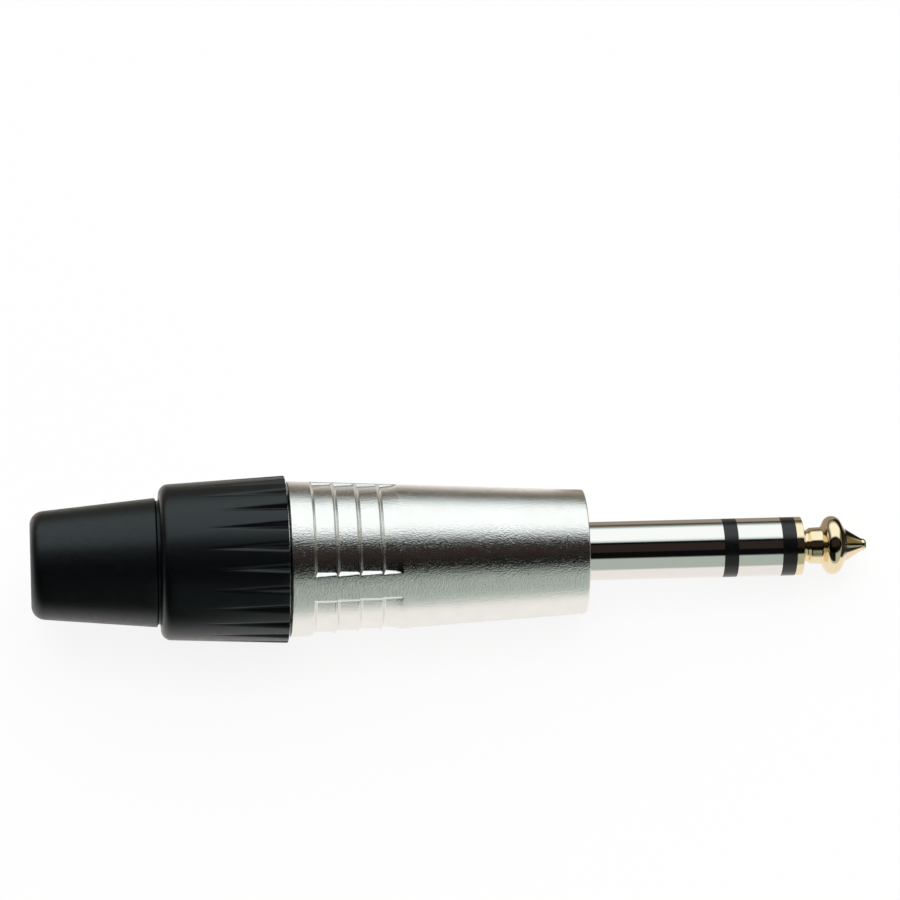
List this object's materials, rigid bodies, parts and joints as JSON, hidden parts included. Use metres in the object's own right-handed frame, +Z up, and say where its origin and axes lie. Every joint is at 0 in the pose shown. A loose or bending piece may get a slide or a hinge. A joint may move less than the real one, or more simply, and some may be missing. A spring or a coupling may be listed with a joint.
{
  "type": "jack plug connector",
  "caption": "Straight stereo jack plug with a tapered metal shell, a ribbed clamp nut and a soft cable boot; the nut closes a chuck on the cable.",
  "frame": {"origin": "centre of the shell's flat front face, on the plug's axis, where the nose of a socket stops", "axes": "+X along the plug's axis towards the tip, +Z up with the plug lying on its side, +Y to its left seen from the cable end"},
  "size_m": [0.0905, 0.018, 0.018],
  "materials": {
    "satin_nickel": "satin",
    "polished_nickel": "polished",
    "gold": "polished",
    "tinned_brass": "satin",
    "black_insulator": "gloss",
    "pale_insulator": "satin",
    "black_plastic": "satin",
    "black_rubber": "matte"
  },
  "bodies": {
    "shell": {"shell": "satin_nickel", "sleeve_contact": "polished_nickel", "rear_insulator": "black_insulator", "ring_contact": "polished_nickel", "front_insulator": "black_insulator", "tip_contact": "gold", "ground_lug": "tinned_brass", "ring_lug_washer": "pale_insulator", "ring_lug": "tinned_brass", "tip_lug_washer": "pale_insulator", "tip_lug": "tinned_brass", "liner": "pale_insulator", "chuck": "pale_insulator"},
    "boot": {"boot": "black_rubber"},
    "clamp_nut": {"clamp_nut": "black_plastic"}
  },
  "joints": [
    {"name": "nut_travel", "type": "slide", "parent": "shell", "child": "boot", "axis": [-1, 0, 0], "range_m": [0, 0.006]},
    {"name": "nut_turn", "type": "hinge", "parent": "boot", "child": "clamp_nut", "pos_m": [-0.039, 0, 0], "axis": [-1, 0, 0], "range_deg": [0, 2160]}
  ],
  "couplings": [
    {"joint": "nut_travel", "follows": "nut_turn", "m_per_rad": 0.00015915}
  ]
}
